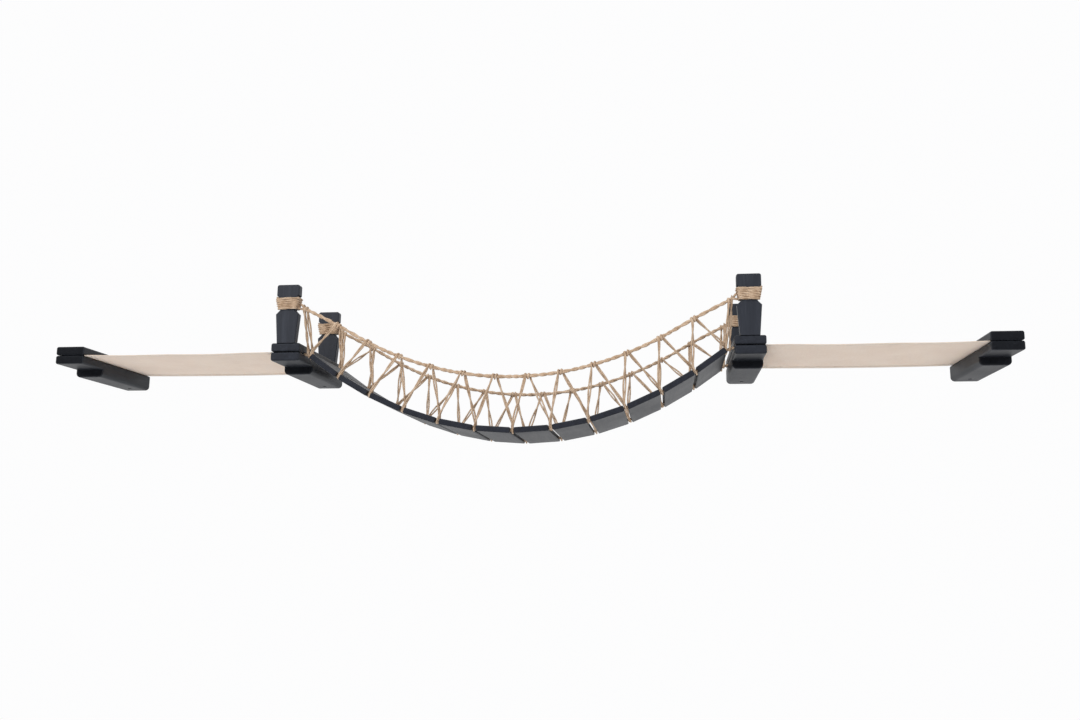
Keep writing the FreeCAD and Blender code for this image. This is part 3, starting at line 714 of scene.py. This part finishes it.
boards = [n for n in nodes if n.startswith(("arm_", "clamp_bar_"))]
posts = [n for n in nodes if n.startswith("post_") and n != "post_screws"]
board_ends = black_wood("black_wood_board_ends", ALL_WAYS, END_STAIN, shine=0.09, rough=0.5)
board_wood = black_wood("black_wood_boards", ALONG_Y, BOARD_STAIN, shine=0.2, rough=0.4)
dress(board_wood, boards, board_ends, axis=1)
# Painted light: the front faces of the tower noses get a lighter finish, for the light that falls on them
# from above and in front
noses = black_wood("black_wood_tower_noses_painted_light", ALL_WAYS, NOSE_LIT_TONES, shine=0.2, rough=0.45)
for name in [n for n in boards if n.endswith("_tower")]:
    mesh = nodes[name].data
    mesh.materials.append(noses)
    for face in mesh.polygons:
        if face.normal[1] < -LOOKS_ALONG and face.center[1] < NOSE_Y:
            face.material_index = len(mesh.materials) - 1
plank_ends = black_wood("black_wood_plank_ends", ALL_WAYS, PLANK_END_STAIN, shine=0.2, rough=0.45)
plank_wood = black_wood("black_wood_planks", ALONG_Y, BOARD_STAIN, shine=0.26, rough=0.4)
dress(plank_wood, PLANKS, plank_ends, axis=1)
post_wood = black_wood("black_wood_posts", ALONG_Z, POST_STAIN, shine=0.25, rough=0.4)
dress(post_wood, posts, board_ends, axis=2)

# %% [markdown]
# The brackets in the arms and the locking screws are blackened steel, and the wood screws are zinc plated.
# Both show only in small places, so a little mottling in colour and roughness is enough.

# %% Steel
STEEL_ROUGH_SPREAD = 0.2


def steel(name, dark, light, rough):
    """Mottled steel between two tones."""
    finish, shader, add, link = new_finish(name)
    place = add("ShaderNodeTexCoord").outputs["Object"]
    mottle = noise(add, place, scale=260.0, detail=4.0)
    link(ramp(add, mottle, [(0.3, dark), (0.7, light)]), shader.inputs["Base Color"])
    span = {"Value": mottle, "To Min": rough, "To Max": rough + STEEL_ROUGH_SPREAD}
    link(add("ShaderNodeMapRange", span).outputs["Result"], shader.inputs["Roughness"])
    shader.inputs["Metallic"].default_value = 1.0
    return finish


brackets = [n for n in nodes if n.startswith("wall_bracket")]
black_steel = steel("black_steel", dark=(0.006, 0.006, 0.007), light=(0.016, 0.016, 0.018), rough=0.55)
dress(black_steel, brackets + ["locking_screws"])
zinc_steel = steel("zinc_steel", dark=(0.32, 0.32, 0.33), light=(0.55, 0.55, 0.56), rough=0.28)
dress(zinc_steel, ["clamp_screws", "post_screws"])

# %% [markdown]
# The runners are natural cotton canvas. Close up it is a plain weave: threads cross over and under each
# other. Two sets of waves on the Object coordinates give the threads, slow noise makes some of them
# thicker and darker, and a soft sheen keeps the cloth from looking like paper.

# %% Canvas finish
CANVAS_TONES = [(0.19, (0.62, 0.488, 0.384)), (0.44, (0.73, 0.592, 0.485)), (0.69, (0.81, 0.688, 0.58))]
THREADS = (("X", 0.0011), ("Y", 0.0012))
GAP_LEVEL = 0.4
SLUB_STRETCHES = ((28.0, 650.0, 1.0), (650.0, 28.0, 1.0))


def canvas_finish():
    """A plain weave on the Object coordinates."""
    finish, shader, add, link = new_finish("cotton_canvas")
    place = add("ShaderNodeTexCoord").outputs["Object"]
    split = add("ShaderNodeSeparateXYZ", {"Vector": place})
    threads = []
    for axis, pitch in THREADS:
        phase = math_node(add, "MULTIPLY", split.outputs[axis], 2 * math.pi / pitch)
        threads.append(math_node(add, "SINE", phase))
    over = math_node(add, "MULTIPLY", threads[0], threads[1])
    ridges = [math_node(add, "ABSOLUTE", thread) for thread in threads]
    gaps = math_node(add, "SUBTRACT", math_node(add, "MINIMUM", ridges[0], ridges[1]), GAP_LEVEL)
    weave = weighted(add, (over, 0.5), (gaps, 1.0))
    slubs = []
    for stretch in SLUB_STRETCHES:
        thread = add("ShaderNodeMapping", {"Vector": place, "Scale": stretch}).outputs["Vector"]
        slubs.append(noise(add, thread, scale=1.0))
    slub = math_node(add, "ADD", slubs[0], slubs[1])
    cloud = noise(add, place, scale=14.0, detail=3.0)
    shade = weighted(add, (slub, 0.34), (weave, 0.07), (cloud, 0.3))
    link(ramp(add, shade, CANVAS_TONES), shader.inputs["Base Color"])
    height = weighted(add, (weave, 1.0), (slub, 0.7))
    set_bump(add, link, shader, height, strength=0.35, distance=0.0003)
    shader.inputs["Roughness"].default_value = 0.9
    shader.inputs["Specular IOR Level"].default_value = 0.2
    shader.inputs["Sheen Weight"].default_value = 0.2
    shader.inputs["Subsurface Weight"].default_value = 0.5
    shader.inputs["Subsurface Radius"].default_value = (1.0, 0.85, 0.7)
    shader.inputs["Subsurface Scale"].default_value = 0.002
    return finish


canvas = canvas_finish()
print("finish", canvas.name, "with", len(canvas.node_tree.nodes), "nodes")

# %% [markdown]
# Each runner is one strip of cloth, folded over into a hem along its front and back edges and clamped
# under two bars. A cloth simulation would hardly move it, because it is pulled tight. So a grid is laid
# out: its rows follow the folded edge, and its columns follow the slight sag, with small puckers
# at the clamps.

# %% The runners' shape
low_corner, high_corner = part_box("canvas_right")
CLAMP_IN, CLAMP_OUT = low_corner[0], high_corner[0]
FRONT_EDGE, BACK_EDGE = low_corner[1], high_corner[1]
TOWER_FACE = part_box("arm_right_tower")[1][0]
END_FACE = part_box("arm_right_end")[0][0]
MIDDLE_Y = (FRONT_EDGE + BACK_EDGE) / 2
CLOTH, CLOTH_Z, SAG = 0.0008, 0.0006, 0.0016
CALM_PACE = 9
PUCKER, PUCKER_WAVE, PUCKER_SHIFT, PUCKER_FADE = 0.0005, 95, 1.3, 14
RIPPLE, RIPPLE_X, RIPPLE_SLANT, RIPPLE_Y = 0.0005, 31, 9, 17
# How far each row of the hem is from the edge, and its layer: 1 is the upper and -1 the folded one
HEM_ROWS = [(0.016, -1), (0.012, -1), (0.006, -1), (0.0013, -1), (0.0004, -0.8), (0.0, 0), (0.0004, 0.8),
            (0.0013, 1), (0.006, 1), (0.012, 1), (0.020, 1)]
PLAIN_FROM, PLAIN_STEPS = HEM_ROWS[-1][0], 16
plain_width = BACK_EDGE - FRONT_EDGE - 2 * PLAIN_FROM
PLAIN_ROWS = [(PLAIN_FROM + plain_width * i / PLAIN_STEPS, 1) for i in range(1, PLAIN_STEPS)]
CLOTH_ROWS = [(FRONT_EDGE + d, layer) for d, layer in HEM_ROWS + PLAIN_ROWS]
CLOTH_ROWS += [(BACK_EDGE - d, layer) for d, layer in reversed(HEM_ROWS)]


def runner_height(x, y):
    """The height of the canvas's middle: level in the clamps, sagging and slightly rippled between."""
    free = np.clip((x - TOWER_FACE) / (END_FACE - TOWER_FACE), 0, 1)
    near = np.minimum(free, 1 - free)
    calm = np.clip(near * CALM_PACE, 0, 1)
    pucker = PUCKER * np.sin(y * PUCKER_WAVE + PUCKER_SHIFT) * np.exp(-near * PUCKER_FADE) * calm
    ripple = RIPPLE * np.sin(x * RIPPLE_X + y * RIPPLE_SLANT) * np.sin(y * RIPPLE_Y) * calm
    return CLOTH_Z - SAG * 4 * free * (1 - free) + pucker + ripple


# %% Runners
COLUMNS = 110
# In the clamps the cloth is cut back a little further, so that no edge of it shows beside the bars
TUCK, TUCK_OVER = 0.009, 0.004
# How far the upper layer is raised, and how far the folded one lies below it in the clamps and more between
LAYER_RISE, FOLD_HELD, FOLD_FREE, FOLD_OVER = 0.00015, 0.0003, 0.0006, 0.006


def corners_of(piece):
    """A mesh's corners, one in each row."""
    flat = np.zeros(len(piece.data.vertices) * 3)
    piece.data.vertices.foreach_get("co", flat)
    return flat.reshape(-1, 3)


def lay_out(piece, places):
    """Moves a mesh's corners to their places and turns its faces outward."""
    piece.data.vertices.foreach_set("co", places.astype(np.float32).ravel())
    bpy.ops.object.mode_set(mode="EDIT")
    bpy.ops.mesh.select_all(action="SELECT")
    bpy.ops.mesh.normals_make_consistent(inside=False)
    bpy.ops.object.mode_set(mode="OBJECT")


def runner(name, side):
    """A strip of canvas with hems, which stands for one of the model's own."""
    bpy.ops.mesh.primitive_grid_add(x_subdivisions=COLUMNS, y_subdivisions=len(CLOTH_ROWS) - 1, size=1.0)
    piece = bpy.context.object
    piece.name = piece.data.name = name.replace("canvas", "runner")
    # The grid's own corners run from -0.5 to 0.5
    share = corners_of(piece) + 0.5
    x = CLAMP_IN + (CLAMP_OUT - CLAMP_IN) * share[:, 0]
    number = np.rint(share[:, 1] * (len(CLOTH_ROWS) - 1)).astype(int)
    y, layer = np.array(CLOTH_ROWS)[number].T
    free = np.clip((x - TOWER_FACE) / FOLD_OVER, 0, 1) * np.clip((END_FACE - x) / FOLD_OVER, 0, 1)
    held = np.clip((TOWER_FACE - x) / TUCK_OVER, 0, 1) + np.clip((x - END_FACE) / TUCK_OVER, 0, 1)
    y = y + held * TUCK * (MIDDLE_Y - y) / (BACK_EDGE - MIDDLE_Y)
    fold = (1 - layer) / 2 * (FOLD_HELD + FOLD_FREE * free) - LAYER_RISE
    lay_out(piece, np.stack([side * x, y, runner_height(x, y) - fold], axis=1))
    thick = piece.modifiers.new("cloth", "SOLIDIFY")
    thick.thickness = CLOTH
    thick.offset = 0.0
    bpy.ops.object.modifier_apply(modifier=thick.name)
    bpy.ops.object.shade_smooth_by_angle(angle=math.radians(40))
    piece.data.materials.append(canvas)
    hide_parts(name)
    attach(piece, "frame")
    bpy.ops.object.select_all(action="DESELECT")
    print(piece.name, len(piece.data.polygons), "faces")
    return piece


runners = {side_name: runner("canvas_" + side_name, side) for side_name, side in TOWERS}

# %% [markdown]
# A row of stitches holds each hem. One stitch is a short, flattened bar of thread that dips at its ends.
# It is modelled once from a cube, bevelled, repeated with an Array modifier, and the row is then laid on
# the cloth.

# %% Stitches
STITCH, STITCH_STEP, STITCH_WIDE, STITCH_HIGH, STITCH_BEVEL = 0.0034, 0.0045, 0.0007, 0.0006, 0.00022
STITCH_RISE, STITCH_DIP = 0.0001, 0.00035
ROW_IN, ROW_START, ROW_SPARE = 0.010, 0.008, 0.012
THREAD_TONES = [(0.3, (0.6, 0.5, 0.4)), (0.7, (0.78, 0.68, 0.57))]


def thread_finish():
    """Pale cotton thread."""
    finish, shader, add, link = new_finish("thread")
    place = add("ShaderNodeTexCoord").outputs["Object"]
    link(ramp(add, noise(add, place, scale=500.0), THREAD_TONES), shader.inputs["Base Color"])
    shader.inputs["Roughness"].default_value = 0.7
    return finish


def stitch_row(name, side, y, face, thread):
    """A row of stitches on the upper (1) or lower (-1) face of a hem."""
    bpy.ops.mesh.primitive_cube_add(size=1.0)
    piece = bpy.context.object
    piece.name = piece.data.name = name
    bpy.ops.object.mode_set(mode="EDIT")
    bpy.ops.transform.resize(value=(STITCH, STITCH_WIDE, STITCH_HIGH))
    bpy.ops.mesh.bevel(offset=STITCH_BEVEL, segments=1, affect="EDGES")
    bpy.ops.object.mode_set(mode="OBJECT")
    repeat = piece.modifiers.new("row", "ARRAY")
    repeat.count = int((END_FACE - TOWER_FACE - ROW_SPARE) / STITCH_STEP)
    repeat.use_relative_offset = False
    repeat.use_constant_offset = True
    repeat.constant_offset_displace = (STITCH_STEP, 0.0, 0.0)
    bpy.ops.object.modifier_apply(modifier=repeat.name)
    places = corners_of(piece)
    x = TOWER_FACE + ROW_START + places[:, 0]
    along = np.abs((places[:, 0] + STITCH / 2) % STITCH_STEP - STITCH / 2) / (STITCH / 2)
    layer = LAYER_RISE if face > 0 else LAYER_RISE - FOLD_HELD - FOLD_FREE
    top = runner_height(x, np.full_like(x, y)) + layer + face * CLOTH / 2
    z = top + face * STITCH_RISE - face * STITCH_DIP * along**2 + places[:, 2]
    lay_out(piece, np.stack([side * x, y + places[:, 1], z], axis=1))
    piece.data.materials.append(thread)
    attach(piece, "frame")
    bpy.ops.object.select_all(action="DESELECT")
    return piece


thread = thread_finish()
for side_name, side in TOWERS:
    for row, y in (("front", FRONT_EDGE + ROW_IN), ("back", BACK_EDGE - ROW_IN)):
        for face_name, face in (("upper", 1), ("lower", -1)):
            stitch_row("stitches_%s_%s_%s" % (side_name, row, face_name), side, y, face, thread)

# %% [markdown]
# The bridge hangs in an even, bright room. A round pale floor below it and a white world give that
# light: the floor's glow lights the undersides. What the camera sees of the world, straight or in a
# reflection, is plain white, which a Light Path node picks out without adding light to the bridge. The
# floor's rim fades into the same white, so that no edge of it shows, and its lower side is clear, so that
# the bridge can be looked at from far below.

# %% Floor
WHITE = (0.98, 0.98, 0.984, 1.0)
FLOOR_RADIUS, FLOOR_FADE, FLOOR_HEIGHT, FLOOR_SIDES = 2.9, 1.3, -1.3, 96
FLOOR_TONES = [(0.3, (0.893, 0.893, 0.896)), (0.7, (0.905, 0.905, 0.908))]


def seen_rays(add):
    """1 on the rays that show a surface to the camera, and 0 on those that only carry light."""
    rays = add("ShaderNodeLightPath").outputs
    seen = math_node(add, "MAXIMUM", rays["Is Camera Ray"], rays["Is Glossy Ray"])
    return math_node(add, "MAXIMUM", seen, rays["Is Transmission Ray"])


def floor_finish():
    """A pale floor with a white rim and a clear lower side."""
    finish, shader, add, link = new_finish("pale_floor")
    place = add("ShaderNodeTexCoord").outputs["Object"]
    link(ramp(add, noise(add, place, scale=0.8), FLOOR_TONES), shader.inputs["Base Color"])
    shader.inputs["Roughness"].default_value = 0.95
    shader.inputs["Specular IOR Level"].default_value = 0.1
    from_middle = add("ShaderNodeVectorMath", {0: place}, operation="LENGTH").outputs["Value"]
    span = {"Value": from_middle, "From Min": FLOOR_FADE, "From Max": FLOOR_RADIUS}
    fade = add("ShaderNodeMapRange", span, interpolation_type="SMOOTHSTEP").outputs["Result"]
    share = math_node(add, "MULTIPLY", fade, seen_rays(add))
    glow = add("ShaderNodeEmission", {"Color": WHITE, "Strength": 1.0}).outputs["Emission"]
    rim = add("ShaderNodeMixShader", {"Fac": share, 1: shader.outputs["BSDF"], 2: glow}).outputs["Shader"]
    below = add("ShaderNodeNewGeometry").outputs["Backfacing"]
    clear = add("ShaderNodeBsdfTransparent").outputs["BSDF"]
    whole = add("ShaderNodeMixShader", {"Fac": below, 1: rim, 2: clear}).outputs["Shader"]
    link(whole, finish.node_tree.nodes["Material Output"].inputs["Surface"])
    return finish


bpy.ops.mesh.primitive_circle_add(vertices=FLOOR_SIDES, radius=FLOOR_RADIUS, fill_type="NGON",
                                  location=(0, 0, FLOOR_HEIGHT))
floor = bpy.context.object
floor.name = "floor"
floor.data.materials.append(floor_finish())
print("floor at", FLOOR_HEIGHT)

# %% [markdown]
# Two large soft lamps in front add a little direction. The room's light falls off to the sides, most of
# all on the right, so that the faces of the wood differ in tone. A colour ramp over the direction's X does
# this.

# %% Light and world
LAMP_AIM = Vector((0, -0.15, 0))
ROOM_TINT = (0.97, 0.98, 1.0, 1.0)
# The room's light from left to right: a share of the way across, and how strong it is there
ROOM_LEVELS = ((0.0, 0.7), (0.42, 1.0), (0.7, 0.85), (1.0, 0.3))


def soft_lamp(name, place, size, power):
    """A round lamp that shines at the bridge's middle."""
    data = bpy.data.lights.new(name, "AREA")
    data.shape = "DISK"
    data.size = size
    data.energy = power
    lamp = bpy.data.objects.new(name, data)
    bpy.context.scene.collection.objects.link(lamp)
    lamp.location = place
    lamp.rotation_euler = (LAMP_AIM - Vector(place)).to_track_quat("-Z", "Y").to_euler()
    print(name, power, "W")


soft_lamp("key_lamp", place=(-1.4, -3.0, 1.9), size=2.4, power=46.0)
soft_lamp("fill_lamp", place=(2.4, -2.4, 1.2), size=2.4, power=14.0)
world = bpy.data.worlds.new("bright_room")
bpy.context.scene.world = world
world.use_nodes = True
world.node_tree.nodes.clear()
world_add = adder(world.node_tree)
direction = world_add("ShaderNodeTexCoord").outputs["Generated"]
sideways = world_add("ShaderNodeSeparateXYZ", {"Vector": direction}).outputs["X"]
sideways = world_add("ShaderNodeMapRange", {"Value": sideways, "From Min": -1.0}).outputs["Result"]
strength = ramp(world_add, sideways, [(spot, (level, level, level)) for spot, level in ROOM_LEVELS])
room = world_add("ShaderNodeBackground", {"Color": ROOM_TINT, "Strength": strength}).outputs["Background"]
white = world_add("ShaderNodeBackground", {"Color": WHITE, "Strength": 1.0}).outputs["Background"]
shown = world_add("ShaderNodeMixShader", {"Fac": seen_rays(world_add), 1: room, 2: white}).outputs["Shader"]
world_add("ShaderNodeOutputWorld", {"Surface": shown})
bpy.context.scene.view_settings.view_transform = "Standard"
